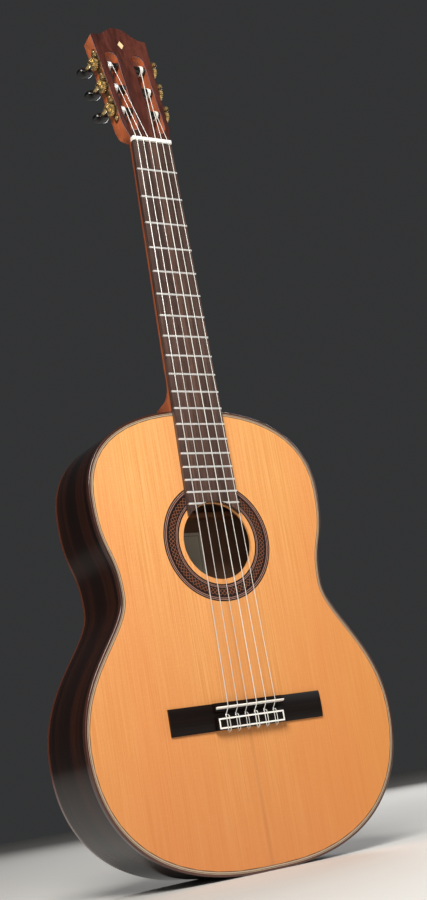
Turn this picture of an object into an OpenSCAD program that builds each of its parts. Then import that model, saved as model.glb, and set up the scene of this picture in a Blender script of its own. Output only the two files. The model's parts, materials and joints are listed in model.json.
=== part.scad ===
// Classical guitar, 650 mm scale, standing on its tail.
// +Z runs along the neck to the head, -Y is the soundboard's side and +X the treble side.
// The origin is the middle of the flat at the tail.

/* [Body outline] */
// Length of the body from the tail to the twelfth fret
body_len = 495; // [485:1:500]
// Width of the lower bout
lower_w = 378; // [365:1:385]
// Width of the waist
waist_w = 254; // [240:1:262]
// Width of the upper bout
upper_w = 290; // [280:1:296]
// Height of the widest place of the lower bout above the tail
lower_z = 145; // [135:1:155]
// Height of the narrowest place of the waist above the tail
waist_z = 293.5; // [285:0.5:300]
// Height of the widest place of the upper bout above the tail
upper_z = 399; // [392:1:404]
// Width of the flat at the tail
tail_flat_w = 24; // [16:1:30]

/* [Body depth] */
// Distance from the middle plane to the soundboard's face
face_y = -50; // [-51:0.5:-48]
// Distance from the middle plane to the middle of the back at the tail
back_tail_y = 52; // [50:0.5:53]
// Distance from the middle plane to the middle of the back at the neck
back_neck_y = 35.5; // [34:0.5:38]
// Radius to which the back is arched across its width
back_r = 4400; // [3600:100:6000]
// Thickness of the soundboard and of the back
plate_t = 2.5; // [2:0.1:3]
// Thickness of the sides, and width of the bindings let into them
side_t = 2.4; // [2:0.1:3]
// Height of the binding round the soundboard
top_binding_h = 5.5; // [4:0.5:7]
// Height of the binding round the back
back_binding_h = 5; // [4:0.5:7]
// Width of the purfling inside the top binding
purfling_w = 3; // [0.8:0.1:3.2]
// Width of the linings glued into the corners
lining_w = 5.6; // [4:0.2:7]
// Height of the linings
lining_h = 14; // [10:1:18]

/* [Soundhole] */
// Height of the soundhole's centre above the tail
hole_z = 346; // [343:1:348]
// Radius of the soundhole
hole_r = 42; // [41:0.5:42.5]
// Inner radius of the rosette
rosette_r1 = 47.5; // [46:0.5:50]
// Outer radius of the rosette
rosette_r2 = 66.3; // [62:0.1:68]
// Depth of the rosette's channel
rosette_t = 1.2; // [0.8:0.1:1.5]

/* [Scale and fingerboard] */
// Vibrating length of the strings
scale_len = 650; // [640:1:655]
// Thickness of the fingerboard
board_t = 5.8; // [5:0.1:6.5]
// Width of the fingerboard at the nut
board_w_nut = 50.8; // [50:0.2:53]
// Width of the fingerboard at the twelfth fret
board_w_12 = 60.5; // [59:0.5:63]
// Height of a fret's crown
fret_h = 1.1; // [0.9:0.05:1.3]
// Thickness of the nut along the neck
nut_t = 5; // [4.5:0.1:5.5]
// Distance between neighbouring strings at the nut
string_gap_nut = 8.4; // [8.2:0.1:8.6]
// Distance between neighbouring strings at the saddle
string_gap_saddle = 11.8; // [11.5:0.1:12]
// Height of the strings' undersides above the soundboard's plane, at the nut
string_h_nut = 7.3; // [7.2:0.05:7.6]
// Height of the strings' undersides above the soundboard, at the saddle
string_h_saddle = 12.3; // [12:0.1:12.6]

/* [Head] */
// Angle by which the head leans back
head_tilt = 12.3; // [11:0.1:14]
// Thickness of the head with its veneer
head_t = 21; // [20:0.5:22]
// Thickness of the head's veneer
veneer_t = 2.5; // [2:0.1:3]
// Half the head's width at its lower shoulders
head_hw_low = 30.7; // [30.2:0.1:31.5]
// Half the head's width at its upper shoulders
head_hw_top = 36.8; // [36:0.1:37.5]
// Distance between neighbouring rollers
roller_pitch = 35; // [34.5:0.1:35.5]
// Radius of the rollers
roller_r = 5; // [4.8:0.1:5]

/* [Tuning machines] */
// Number of teeth of each gear, and so the machine's ratio
gear_teeth = 16; // [16]
// Module of the gears
gear_module = 0.8; // [0.8]
// Distance between a gear's axis and its worm's
gear_centres = 9; // [9]
// Running clearance of a shaft in its hole, on the radius
run_fit = 0.05; // [0.03:0.01:0.08]

/* [Hidden] */

// ---- places worked out from the driving dimensions
twelfth_z = body_len;
nut_z = twelfth_z + scale_len / 2;
nut_back_z = nut_z + nut_t;
saddle_z = nut_z - scale_len - 1.5;
under_top_y = face_y + plate_t;
board_y = face_y - board_t;
head_y = face_y - 3.7;
back_slope = atan((back_tail_y - back_neck_y) / body_len);
big = 400;

// ---- outline of the body: four cubic curves for one half, from the tail to the neck
steps = 12;
flat = tail_flat_w / 2;
curves = [
    [[flat, 0], [flat + 116, 0], [lower_w / 2, lower_z - 87.5], [lower_w / 2, lower_z]],
    [[lower_w / 2, lower_z], [lower_w / 2, lower_z + 75],
        [waist_w / 2, waist_z - 37], [waist_w / 2, waist_z]],
    [[waist_w / 2, waist_z], [waist_w / 2, waist_z + 50],
        [upper_w / 2, upper_z - 61], [upper_w / 2, upper_z]],
    [[upper_w / 2, upper_z], [upper_w / 2, upper_z + 65], [86, body_len], [0, body_len]]
];

function bez(p, t) = pow(1 - t, 3) * p[0] + 3 * pow(1 - t, 2) * t * p[1]
    + 3 * (1 - t) * t * t * p[2] + t * t * t * p[3];
function bez_way(p, t) = pow(1 - t, 2) * (p[1] - p[0]) + 2 * (1 - t) * t * (p[2] - p[1])
    + t * t * (p[3] - p[2]);
// A point of the outline, moved inwards by inset at right angles to the curve
function rim_point(p, t, inset) = let (w = bez_way(p, t), n = [w.y, -w.x] / norm(w))
    bez(p, t) - inset * n;
function half_outline(inset) = concat(
    [for (c = curves) for (i = [0:steps - 1]) rim_point(c, i / steps, inset)],
    [rim_point(curves[3], 1, inset)]);
function mirrored(points) = [for (i = [len(points) - 1:-1:0]) [-points[i].x, points[i].y]];

// A flat shape of x and z, drawn out along y from y0 to y1
module slab(y0, y1) {
    translate([0, y1, 0]) rotate([90, 0, 0]) linear_extrude(y1 - y0) children();
}

module outline(inset) {
    half = half_outline(inset);
    polygon(concat(half, mirrored([for (i = [0:len(half) - 2]) half[i]])));
}

// The space in front of the back's arch, taken depth below its outer face
module dome(depth) {
    translate([0, back_tail_y, 0]) rotate([back_slope, 0, 0]) translate([0, -back_r, -50])
        cylinder(r = back_r - depth, h = 1000, $fn = 256);
}

// The shell between two depths below the back's outer face
module dome_shell(depth0, depth1) {
    difference() {
        intersection() {
            children();
            dome(depth0);
        }
        dome(depth1);
    }
}

// A wall that follows the outline, between two insets
module rim(inset0, inset1, y0, y1) {
    slab(y0, y1) difference() {
        outline(inset0);
        outline(inset1);
    }
}

module box_at(x0, x1, y0, y1, z0, z1) {
    translate([x0, y0, z0]) cube([x1 - x0, y1 - y0, z1 - z0]);
}

// ---- body
sound_inset = side_t + purfling_w;
foot_hw = 32;
web_hw = 8;
foot_z = 456;
tail_block_hw = 36;
tail_block_z = 18;
deep_y = 70;

module soundboard() color("#d98f45") difference() {
    slab(face_y, under_top_y) difference() {
        outline(sound_inset);
        translate([0, hole_z]) circle(r = hole_r, $fn = 120);
    }
    slab(face_y - 1, face_y + rosette_t) rosette_ring();
}

module rosette_ring() translate([0, hole_z]) difference() {
    circle(r = rosette_r2, $fn = 120);
    circle(r = rosette_r1, $fn = 120);
}

module rosette() color("#5a2f22") slab(face_y, face_y + rosette_t) rosette_ring();

module top_purfling() color("#c9b79c") rim(side_t, sound_inset, face_y, under_top_y);

module top_binding() color("#3a1a12") rim(0, side_t, face_y, face_y + top_binding_h);

fan_count = 7;
fan_step = 4.6;
fan_focus_z = 760;
fan_z0 = 62;
fan_z1 = 286;
brace_w = 5;
fan_h = 4;
bar_w = 6;
bar_h = 16;
bar_z = [292, 399];
top_inner = side_t + lining_w;

module top_braces() color("#e0b878") {
    // Fan braces, closing bars and the two harmonic bars beside the soundhole
    for (i = [0:fan_count - 1]) intersection() {
        slab(under_top_y, under_top_y + fan_h) outline(top_inner);
        translate([0, 0, fan_focus_z]) rotate([0, (i - (fan_count - 1) / 2) * fan_step, 0])
            box_at(-brace_w / 2, brace_w / 2, -big, big, fan_z0 - fan_focus_z, fan_z1 - fan_focus_z);
        box_at(-big, big, -big, big, fan_z0, fan_z1);
    }
    for (side = [-1, 1]) intersection() {
        slab(under_top_y, under_top_y + fan_h) outline(top_inner);
        translate([0, 0, 32]) rotate([0, -side * 12, 0])
            box_at(min(4 * side, 120 * side), max(4 * side, 120 * side), -big, big, 0, brace_w);
    }
    for (z = bar_z) intersection() {
        slab(under_top_y, under_top_y + bar_h) outline(top_inner);
        box_at(-big, big, -big, big, z - bar_w / 2, z + bar_w / 2);
    }
}

module side(sign) color("#2b1512") difference() {
    intersection() {
        rim(0, side_t, face_y + top_binding_h, deep_y);
        dome(back_binding_h);
        box_at(min(0, sign * big), max(0, sign * big), -big, big, -1, body_len + 1);
    }
    box_at(-flat, flat, -big, big, -1, side_t * 2);
    box_at(-web_hw, web_hw, -big, big, foot_z, body_len + 1);
}

module side_bass() side(-1);

module side_treble() side(1);

module back_binding() color("#7a3a22") dome_shell(0, back_binding_h)
    rim(0, side_t, 0, deep_y);

strip_hw = 3;

module back_half(sign) color("#331a14") dome_shell(0, plate_t) intersection() {
    slab(0, deep_y) outline(side_t);
    box_at(min(strip_hw * sign, big * sign), max(strip_hw * sign, big * sign), -big, big, -1, 600);
}

module back_bass() back_half(-1);

module back_treble() back_half(1);

module back_strip() color("#c79a5a") dome_shell(0, plate_t) intersection() {
    slab(0, deep_y) outline(side_t);
    box_at(-strip_hw, strip_hw, -big, big, -1, 600);
}

back_brace_z = [112, 236, 393];
back_brace_h = 15;

module back_braces() color("#c9935a") for (z = back_brace_z)
    dome_shell(plate_t, plate_t + back_brace_h) intersection() {
        slab(0, deep_y) outline(top_inner);
        box_at(-big, big, -big, big, z - bar_w / 2, z + bar_w / 2);
    }

module linings() color("#c88f5a") difference() {
    union() {
        rim(side_t, top_inner, under_top_y, under_top_y + lining_h);
        dome_shell(plate_t, plate_t + lining_h) rim(side_t, top_inner, 0, deep_y);
    }
    box_at(-tail_block_hw, tail_block_hw, -big, big, -1, 40);
    box_at(-foot_hw, foot_hw, -big, big, foot_z - 10, body_len + 1);
}

module tail_block() color("#b5713f") intersection() {
    slab(under_top_y, deep_y) outline(side_t);
    dome(plate_t);
    box_at(-tail_block_hw, tail_block_hw, -big, big, 0, tail_block_z);
}

module end_graft() color("#7a3a22") intersection() {
    box_at(-flat, flat, face_y + top_binding_h, deep_y, 0, side_t);
    dome(back_binding_h);
}

label_hw = 34;
label_z0 = 292;
label_z1 = 376;
label_t = 0.3;

module label() color("#d8d2bd") dome_shell(plate_t, plate_t + label_t)
    box_at(-label_hw, label_hw, 0, deep_y, label_z0, label_z1);

// ---- neck: a loft of half-round sections that deepens into the heel
neck_sides = 20;
heel_top_z = 545;
heel_base_z = 507;
heel_hw = 11;
heel_over = 3;

function board_hw(z) = (board_w_nut + (board_w_12 - board_w_nut) * (nut_z - z) / (scale_len / 2)) / 2;
function blend(t) = let (u = min(1, max(0, t))) u * u * (3 - 2 * u);
function shaft_d(z) = 15 + 2 * (nut_z - z) / (nut_z - heel_top_z);
// Depth of the neck below the fingerboard's plane: a hollow sweep from the shaft to the heel
function neck_d(z) = z >= heel_top_z ? shaft_d(z)
    : let (u = min(1, (heel_top_z - z) / (heel_top_z - heel_base_z)))
        shaft_d(z) + (back_neck_y - face_y + heel_over - shaft_d(z)) * (1 - sqrt(1 - pow(u, 3.6)));
// How far a section has turned from a round one into the heel's keel
function keel(z) = blend((heel_top_z - z) / (heel_top_z - heel_base_z));
function neck_point(z, a) = let (
        k = keel(z),
        round_x = pow(abs(cos(a)), 0.8),
        keel_x = heel_hw / board_hw(z) + (1 - heel_hw / board_hw(z)) * pow(abs(cos(a)), 4),
        tip = a > 89 && a < 91 ? 0 : 1,
        x = ((1 - k) * round_x + k * keel_x * tip) * sign(cos(a) + 1e-9))
    [board_hw(z) * (a == 90 ? 0 : x), face_y + neck_d(z) * pow(sin(a), 1 - 0.1 * k), z];
neck_levels = concat([for (z = [491:3:heel_base_z]) z], [for (i = [0:10])
    heel_base_z + 2 + (heel_top_z - heel_base_z - 2) * i / 10], [640, 710, 780, 803]);

// The last sections square up into the head's shoulders: two in the neck, then some along the head
shoulder_z = [811, 819];
neck_end_s = 14;
shoulder_s = [0.5, 5, 9.5, neck_end_s];
square_from = 819;
function squared(path) = blend((path - square_from) / (nut_back_z + neck_end_s - square_from));
function shoulder_point(hw, w, a) = let (m = max(abs(cos(a)), sin(a)), deep = shaft_d(nut_z)) [
    hw * ((1 - w) * pow(abs(cos(a)), 0.8) * sign(cos(a)) + w * cos(a) / m),
    (deep + (head_t - veneer_t - deep) * w) * ((1 - w) * sin(a) + w * sin(a) / m)];
function neck_shoulder(z, a) = let (q = shoulder_point(board_hw(z), squared(z), a))
    [q.x, face_y + q.y, z];
function head_shoulder(s, a) = let (q = shoulder_point(head_side(s), squared(nut_back_z + s), a))
    head_point(q.x, veneer_t + q.y, s);

module neck_loft() {
    turns = [for (j = [0:neck_sides]) 180 * j / neck_sides];
    rings = concat(
        [for (z = neck_levels) [for (a = turns) neck_point(z, a)]],
        [for (z = shoulder_z) [for (a = turns) neck_shoulder(z, a)]],
        [for (s = shoulder_s) [for (a = turns) head_shoulder(s, a)]]);
    count = neck_sides + 1;
    polyhedron(
        points = [for (ring = rings) for (p = ring) p],
        faces = concat(
            [[for (j = [0:count - 1]) j]],
            [for (i = [0:len(rings) - 2]) for (j = [0:count - 1]) let (n = (j + 1) % count)
                for (f = [[i * count + j, (i + 1) * count + j, i * count + n],
                    [(i + 1) * count + j, (i + 1) * count + n, i * count + n]]) f],
            [[for (j = [count - 1:-1:0]) (len(rings) - 1) * count + j]]),
        convexity = 6);
}

module in_head() {
    translate([0, head_y, nut_back_z]) rotate([-head_tilt, 0, 0]) children();
}

head_base = -2;

// The room for the nut and the fingerboard above the neck's flat
module nut_seat() {
    box_at(-60, 60, face_y - 40, face_y, nut_z - 60, nut_back_z);
}

module neck() color("#b4632f") {
    difference() {
        intersection() {
            neck_loft();
            dome(plate_t);
        }
        slab(-big, big) outline(0);
        nut_seat();
    }
    intersection() {
        slab(under_top_y, deep_y) outline(side_t);
        dome(plate_t);
        box_at(-foot_hw, foot_hw, -big, big, foot_z, body_len);
    }
    intersection() {
        slab(face_y + top_binding_h, deep_y) outline(0);
        dome(back_binding_h);
        box_at(-web_hw, web_hw, -big, big, foot_z + 10, body_len);
    }
}

module heel_cap() color("#2b1512") difference() {
    dome_shell(0, plate_t) intersection() {
        neck_loft();
        box_at(-foot_hw, foot_hw, 0, deep_y, foot_z, heel_top_z);
    }
    slab(-big, big) outline(0);
}

// ---- fingerboard, frets and nut
board_end_r = hole_r + 1;
fret_count = 19;
fret_w = 2.4;
tang_w = 0.6;
tang_h = 2;

function fret_z(n) = nut_z - scale_len * (1 - pow(2, -n / 12));

// The fingerboard's plan, grown by a margin on its sides
module board_plan(margin) difference() {
    polygon([
        [-board_hw(nut_z) - margin, nut_z], [-board_hw(hole_z) - margin, hole_z],
        [board_hw(hole_z) + margin, hole_z], [board_hw(nut_z) + margin, nut_z]
    ]);
    translate([0, hole_z]) circle(r = board_end_r, $fn = 120);
}

module fingerboard() color("#4a2a20") difference() {
    slab(board_y, face_y) board_plan(0);
    for (n = [1:fret_count])
        box_at(-40, 40, board_y - 1, board_y + tang_h, fret_z(n) - tang_w / 2, fret_z(n) + tang_w / 2);
}

crown_r = (pow(fret_w / 2, 2) + fret_h * fret_h) / (2 * fret_h);

module frets() color("#c8ccd0") intersection() {
    slab(board_y - 5, board_y + tang_h) board_plan(0);
    for (n = [1:fret_count]) {
        box_at(-40, 40, board_y, board_y + tang_h, fret_z(n) - tang_w / 2, fret_z(n) + tang_w / 2);
        intersection() {
            translate([-40, board_y - fret_h + crown_r, fret_z(n)]) rotate([0, 90, 0])
                cylinder(r = crown_r, h = 80, $fn = 48);
            box_at(-40, 40, board_y - 5, board_y, fret_z(n) - 5, fret_z(n) + 5);
        }
    }
}

nut_h = 8.3;

module nut() color("#efe9dc") difference() {
    hull() {
        box_at(-board_hw(nut_z), board_hw(nut_z), face_y - nut_h + 1, face_y, nut_z, nut_back_z);
        box_at(-board_hw(nut_z) + 1, board_hw(nut_z) - 1, face_y - nut_h, face_y, nut_z + 0.4,
            nut_back_z - 1.6);
    }
    for (n = [1:6]) nut_groove(n);
}

// A round-bottomed groove, open above, along a string's way over the nut
module nut_groove(n) {
    start = speaking_points(n)[1];
    d = string_end(n) - start;
    r = string_r[n - 1] * 1.1 + slot_gap;
    translate(start) rotate([-asin(d.y / norm(d)), atan2(d.x, d.z), 0]) translate([0, 0, -2])
        linear_extrude(12) {
            circle(r = r, $fn = 24);
            translate([-r, -3]) square([2 * r, 3]);
        }
}

// ---- head
// The head's own axes: x as before, y into the head from its face, z up its face from the nut
slot_x0 = 9.5;
slot_x1 = 26.5;
slot_z0 = 15;
slot_z1 = 133;
ramp_angle = 30;
ramp_hw = 5;
shoulder_low_z = 22;
shoulder_top_z = 158;
crest_z = 173;
crest_hw = 4;
crest_steps = 12;
roller_y = 7.8;
taper = atan((head_hw_top - head_hw_low) / (shoulder_top_z - shoulder_low_z));
middle_z = 80;
post_z = [-roller_pitch, 0, roller_pitch];

function head_hw(z) = head_hw_low
    + (head_hw_top - head_hw_low) * (z - shoulder_low_z) / (shoulder_top_z - shoulder_low_z);
// Half the head's width all the way up: a slanting lower shoulder, then the straight taper
function head_side(s) = s >= shoulder_low_z ? head_hw(s)
    : board_w_nut / 2 + (head_hw_low - board_w_nut / 2) * max(0, s) / shoulder_low_z;
// The crest falls to the shoulders in a hollow curve
half_head = concat(
    [[board_w_nut / 2, head_base]],
    [for (s = [0, neck_end_s, shoulder_low_z, shoulder_top_z]) [head_side(s), s]],
    [for (i = [1:crest_steps]) let (t = 1 - i / crest_steps)
        [crest_hw + (head_hw_top - crest_hw) * t,
            shoulder_top_z + (crest_z - shoulder_top_z) * pow(1 - blend(t), 1.8)]]);

module head_outline() polygon(concat(half_head, mirrored(half_head)));

module head_slots() for (s = [-1, 1]) translate([s * (slot_x0 + slot_x1) / 2, 0]) {
    r = (slot_x1 - slot_x0) / 2;
    translate([0, slot_z0 + r]) circle(r = r, $fn = 48);
    translate([0, slot_z1 - r]) circle(r = r, $fn = 48);
    translate([-r, slot_z0 + r]) square([2 * r, slot_z1 - slot_z0 - 2 * r]);
}

// Filed ramps that lead the strings down into the slots
module slot_ramps() for (s = [-1, 1]) translate([s * (slot_x0 + slot_x1) / 2, 0, slot_z0 - 4])
    rotate([-ramp_angle, 0, 0]) box_at(-ramp_hw, ramp_hw, -12, 0, 0, 24);

// Placing a tuning machine: x out of the head's side, z along its edge, origin on a roller's axis
module machine_side(sign) in_head() mirror([sign < 0 ? 1 : 0, 0, 0])
    translate([head_hw(middle_z), roller_y, middle_z]) rotate([0, taper, 0]) children();

module machine(n) machine_side(n > 3 ? -1 : 1)
    translate([0, 0, post_z[n > 3 ? 6 - n : n - 1]]) children();

module along_x(x0, x1, r) translate([x0, 0, 0]) rotate([0, 90, 0])
    cylinder(r = r, h = x1 - x0, $fn = 64);

module along_y(y0, y1, r) translate([0, y0, 0]) rotate([-90, 0, 0])
    cylinder(r = r, h = y1 - y0, $fn = 64);

roller_len = 27;
screw_z = [-47, -16, 19, 54];
screw_r = 1.2;
screw_len = 4;
screw_head_r = 2.6;

module head_block(y0, y1) difference() {
    in_head() difference() {
        slab(y0, y1) difference() {
            head_outline();
            head_slots();
        }
        slot_ramps();
    }
    nut_seat();
}

module headstock() color("#b4632f") difference() {
    head_block(veneer_t, head_t);
    in_head() box_at(-60, 60, -40, 60, -30, neck_end_s);
    for (n = [1:6]) machine(n) along_x(-roller_len - 0.3, 1, roller_r + run_fit);
    for (sign = [-1, 1]) machine_side(sign) for (z = screw_z)
        translate([0, 0, z]) along_x(-screw_len, 1, screw_r);
}

module head_veneer() color("#4a2018") difference() {
    head_block(0, veneer_t);
    for (n = [1:6]) machine(n) along_x(-roller_len - 0.3, 1, roller_r + run_fit);
    in_head() head_diamond();
}

diamond_z = 146;
diamond_hw = 4;
diamond_hh = 6.5;
diamond_t = 1;

module head_diamond() slab(0, diamond_t) translate([0, diamond_z]) polygon([
    [-diamond_hw, 0], [0, -diamond_hh], [diamond_hw, 0], [0, diamond_hh]
]);

module inlays() color("#eadfc4") in_head() head_diamond();

// ---- tuning machines
brass_t = 1.2;
worm_x = 4.8;
gear_w = 3.4;
spindle_r = 3;
stub_r = 2;
gear_screw_r = 0.9;
gear_face = worm_x - gear_w / 2;
stub_end = worm_x + gear_w / 2 - 0.2;
gear_pitch_r = gear_teeth * gear_module / 2;
gear_tip_r = gear_pitch_r + 0.6;
gear_root_r = gear_pitch_r - 0.7;
worm_pitch_r = gear_centres - gear_pitch_r;
worm_tip_r = worm_pitch_r + 0.6;
worm_root_r = worm_pitch_r - 0.7;
worm_lead = PI * gear_module;
worm_hl = 4;
journal_r = 1.25;
lug_y = 4.4;
lug_t = 2;
lug_r = 3.6;

module plate_outline() {
    for (z = post_z) {
        translate([0, z]) circle(r = 7, $fn = 64);
        translate([-6, z]) square([12, gear_centres + 4]);
    }
    for (z = screw_z) translate([0, z]) circle(r = 4.2, $fn = 48);
    translate([-3.6, screw_z[0]]) square([7.2, screw_z[3] - screw_z[0]]);
}

module lug(y) {
    difference() {
        union() {
            translate([worm_x, 0, 0]) along_y(y, y + lug_t, lug_r);
            box_at(brass_t / 2, worm_x, y, y + lug_t, -lug_r, lug_r);
        }
        translate([worm_x, 0, 0]) along_y(y - 1, y + lug_t + 1, journal_r + run_fit);
    }
}

module tuner_plate(sign) color("#b8862f") machine_side(sign) {
    difference() {
        translate([brass_t, 0, 0]) rotate([0, 90, 0]) rotate([0, 180, 90])
            linear_extrude(brass_t) plate_outline();
        for (z = post_z) translate([0, 0, z]) along_x(-1, brass_t + 1, spindle_r + run_fit);
        for (z = screw_z) translate([0, 0, z]) along_x(-1, brass_t + 1, screw_r);
    }
    for (z = post_z) translate([0, 0, z + gear_centres]) {
        lug(lug_y);
        lug(-lug_y - lug_t);
    }
}

module tuner_plate_bass() tuner_plate(-1);

module tuner_plate_treble() tuner_plate(1);

// A raised head with a slot across it
module screw_head() difference() {
    union() {
        cylinder(r = screw_head_r, h = 0.5, $fn = 64);
        translate([0, 0, 0.5]) cylinder(r1 = screw_head_r, r2 = screw_head_r - 0.7, h = 0.5, $fn = 64);
        translate([0, 0, 1]) cylinder(r1 = screw_head_r - 0.7, r2 = 0.9, h = 0.35, $fn = 64);
    }
    box_at(-0.3, 0.3, -3, 3, 0.8, 2);
}

module plate_screws() color("#c99a45") for (sign = [-1, 1]) machine_side(sign)
    for (z = screw_z) translate([0, 0, z]) {
        along_x(-screw_len, brass_t, screw_r);
        translate([brass_t, 0, 0]) rotate([0, 90, 0]) screw_head();
    }

module roller(n) color("#15130f") machine(n) difference() {
    union() {
        along_x(-roller_len, -0.3, roller_r);
        along_x(-0.3, gear_face, spindle_r);
        along_x(gear_face, stub_end, stub_r);
    }
    along_x(stub_end - 3, stub_end + 1, gear_screw_r);
}

module gear_profile() polygon([for (i = [0:gear_teeth - 1]) for (k = [
        [gear_root_r, -0.37], [gear_root_r, -0.3], [gear_tip_r, -0.11], [gear_tip_r, 0.11],
        [gear_root_r, 0.3], [gear_root_r, 0.37]
    ]) let (a = (i + 0.5 + k[1]) * 360 / gear_teeth) [k[0] * cos(a), k[0] * sin(a)]]);

// The wheel, with a root between two teeth facing the worm, and its screw
module gear(n) color("#c99a45") machine(n) {
    difference() {
        translate([gear_face, 0, 0]) rotate([0, 90, 0]) linear_extrude(gear_w) gear_profile();
        along_x(gear_face - 1, gear_face + gear_w + 1, stub_r);
    }
    along_x(stub_end - 3, gear_face + gear_w, gear_screw_r);
    difference() {
        along_x(gear_face + gear_w, gear_face + gear_w + 1.2, 2.3);
        box_at(gear_face + gear_w + 0.6, gear_face + gear_w + 2, -0.3, 0.3, -3, 3);
    }
}

// One raised helical thread: a tapered ridge swept round the core
thread_steps = 20;
thread_turns = 2.6;
thread_foot = 0.62;
thread_tip = 0.3;

module worm_thread() {
    count = thread_steps * thread_turns;
    rings = [for (i = [0:count]) let (a = 360 * i / thread_steps - 90 - 180 * thread_turns,
            y = worm_lead * (i / thread_steps - thread_turns / 2))
        [for (p = [[worm_root_r - 0.4, -thread_foot], [worm_tip_r, -thread_tip],
                [worm_tip_r, thread_tip], [worm_root_r - 0.4, thread_foot]])
            [p[0] * cos(a), y + p[1], p[0] * sin(a)]]];
    polyhedron(
        points = [for (ring = rings) for (p = ring) p],
        faces = concat(
            [[0, 1, 2, 3]],
            [for (i = [0:len(rings) - 2]) for (j = [0:3]) let (m = (j + 1) % 4)
                for (f = [[i * 4 + j, (i + 1) * 4 + j, i * 4 + m],
                    [(i + 1) * 4 + j, (i + 1) * 4 + m, i * 4 + m]]) f],
            [[for (j = [3:-1:0]) (len(rings) - 1) * 4 + j]]),
        convexity = 8);
}

shaft_end = 22;
button_y0 = 17;
button_y1 = 31;

module worm(n) color("#c99a45") machine(n) translate([worm_x, 0, gear_centres]) {
    worm_thread();
    along_y(-worm_hl, worm_hl, worm_root_r);
    along_y(-lug_y - lug_t - 0.3, lug_y + lug_t + 0.4, journal_r);
    along_y(-lug_y - lug_t - 1.5, -lug_y - lug_t - 0.3, 2);
    along_y(lug_y + lug_t + 0.3, lug_y + lug_t + 2.3, 3);
    along_y(lug_y + lug_t + 2.3, button_y0, 2);
    along_y(button_y0, shaft_end, journal_r);
}

module button(n) color("#101010") machine(n) translate([worm_x, 0, gear_centres]) difference() {
    union() {
        intersection() {
            translate([0, (button_y0 + button_y1) / 2, 0]) {
                intersection() {
                    translate([0, 0, -16]) sphere(r = 20, $fn = 128);
                    translate([0, 0, 16]) sphere(r = 20, $fn = 128);
                }
            }
            box_at(-20, 20, button_y0 + 1.5, button_y1, -20, 20);
            union() {
                translate([-3.2, button_y1 - 6.5, 0]) cylinder(r = 6.5, h = 20, center = true, $fn = 96);
                translate([3.2, button_y1 - 6.5, 0]) cylinder(r = 6.5, h = 20, center = true, $fn = 96);
                box_at(-5, 5, button_y0 + 1.5, button_y1, -10, 10);
            }
        }
        along_y(button_y0, button_y0 + 3, 2.8);
    }
    along_y(button_y0 - 1, shaft_end, journal_r);
}

// ---- bridge
bridge_hl = 94;
bridge_z0 = saddle_z - 22.5;
bridge_z1 = bridge_z0 + 28;
centre_hl = 42.5;
tie_h = 8.5;
tie_z1 = bridge_z0 + 13;
tie_hole_h = 4.6;
tie_hole_r = 1;
saddle_hl = 41.2;
saddle_w = 2.6;
saddle_floor_h = 4;
frame_hl = 40.4;
frame_z0 = bridge_z0 + 1;
frame_z1 = bridge_z0 + 12.2;
frame_w = 1.7;
frame_t = 0.8;

// A profile of [height above the soundboard, z], drawn out along x
module across(x0, x1, profile) translate([x0, 0, 0]) rotate([90, 0, 90])
    linear_extrude(x1 - x0) polygon([for (p = profile) [face_y - p[0], p[1]]]);

module tie_frame() difference() {
    box_at(-frame_hl, frame_hl, face_y - tie_h, face_y - tie_h + frame_t, frame_z0, frame_z1);
    box_at(-frame_hl + frame_w, frame_hl - frame_w, -big, big, frame_z0 + frame_w, frame_z1 - frame_w);
}

module bridge() color("#1c1110") difference() {
    union() {
        across(-bridge_hl, bridge_hl, [
            [0, bridge_z0], [2, bridge_z0], [2.9, bridge_z0 + 3], [3.2, bridge_z0 + 10],
            [3.2, bridge_z1 - 10], [2.9, bridge_z1 - 3], [2, bridge_z1], [0, bridge_z1]
        ]);
        across(-centre_hl, centre_hl, [
            [0, bridge_z0], [tie_h - 0.5, bridge_z0], [tie_h, bridge_z0 + 0.5], [tie_h, tie_z1],
            [3.4, tie_z1 + 1], [3.4, tie_z1 + 4.5], [8, tie_z1 + 6], [8, bridge_z1 - 2.5],
            [6.4, bridge_z1], [0, bridge_z1]
        ]);
    }
    box_at(-saddle_hl, saddle_hl, face_y - 20, face_y - saddle_floor_h,
        saddle_z - saddle_w / 2, saddle_z + saddle_w / 2);
    tie_frame();
    for (n = [1:6]) translate([string_x(n, string_gap_saddle), face_y - tie_hole_h, bridge_z0 - 1])
        cylinder(r = tie_hole_r, h = 16, $fn = 32);
}

module saddle() color("#efe9dc") across(-saddle_hl, saddle_hl, [
    [saddle_floor_h, saddle_z - saddle_w / 2], [string_h_saddle - 2.2, saddle_z - saddle_w / 2],
    [string_h_saddle - 0.15, saddle_z - 0.05], [string_h_saddle - 0.15, saddle_z + 0.4],
    [string_h_saddle - 0.3, saddle_z + 0.9], [string_h_saddle - 1, saddle_z + saddle_w / 2],
    [saddle_floor_h, saddle_z + saddle_w / 2]
]);

module tie_block_inlay() color("#efe9dc") tie_frame();

// ---- strings, from the first to the sixth
string_r = [0.355, 0.41, 0.51, 0.38, 0.455, 0.56];
string_end_x = [20.5, 20, 19.5, 19.5, 20, 20.5];
slot_gap = 0.05;
wrap_gap = 0.15;

function string_x(n, gap) = (3.5 - n) * gap;
function head_point(x, y, z) = [x, head_y + y * cos(head_tilt) + z * sin(head_tilt),
    nut_back_z - y * sin(head_tilt) + z * cos(head_tilt)];
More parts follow.
